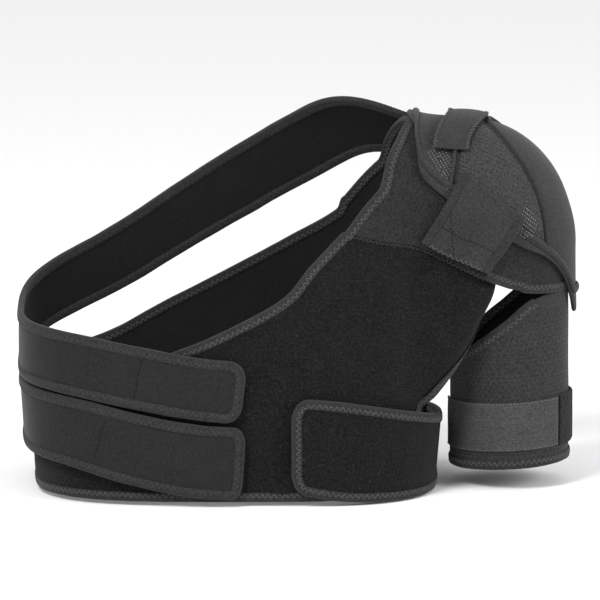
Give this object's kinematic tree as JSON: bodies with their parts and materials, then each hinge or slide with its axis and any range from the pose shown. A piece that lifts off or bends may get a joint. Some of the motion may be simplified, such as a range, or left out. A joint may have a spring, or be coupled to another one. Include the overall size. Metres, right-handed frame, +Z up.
{
  "type": "shoulder brace",
  "caption": "Wrap-around neoprene shoulder support with a padded shoulder cup, an arm sleeve with an elastic band, and chest straps that close on a plush front panel.",
  "frame": {"origin": "on top of the shoulder form, under the shoulder yoke, where the brace sits on its wearer", "axes": "+Z up, -Y out of the wearer's chest, +X towards the braced left arm"},
  "size_m": [0.5054, 0.2638, 0.3417],
  "materials": {
    "plush": "brushed loop pile",
    "neoprene": "smooth jersey face",
    "yoke_cloth": "fine brushed jersey",
    "strap_cloth": "fine knit jersey",
    "perforated_neoprene": "jersey with fine perforations",
    "pad_cloth": "moulded jersey",
    "ribbed_elastic": "cross-ribbed woven elastic",
    "edge_tape": "fold-over elastic tape with zigzag stitch"
  },
  "bodies": {
    "root": {"chest_panel": "plush", "back_panel": "neoprene", "shoulder_yoke": "yoke_cloth", "side_flap": "plush", "upper_strap": "strap_cloth", "lower_strap": "strap_cloth", "arm_sleeve": "perforated_neoprene", "arm_elastic": "ribbed_elastic", "arm_loop_patch": "plush", "arm_strap_end": "strap_cloth", "shoulder_cup": "pad_cloth", "cup_border": "pad_cloth", "cup_piping": "pad_cloth", "cup_panel": "perforated_neoprene", "top_strap": "strap_cloth", "front_tab": "strap_cloth", "front_tab_inner_tape": "edge_tape", "front_tab_outer_tape": "edge_tape", "neck_binding": "edge_tape", "hem_binding_front": "edge_tape", "hem_binding_back": "edge_tape", "armhole_binding_front": "edge_tape", "armhole_binding_back": "edge_tape", "armhole_top_binding_front": "edge_tape", "armhole_top_binding_back": "edge_tape", "flap_binding": "edge_tape", "upper_strap_binding": "edge_tape", "lower_strap_binding": "edge_tape", "sleeve_hem_binding": "edge_tape", "sleeve_top_binding": "edge_tape"}
  },
  "joints": []
}
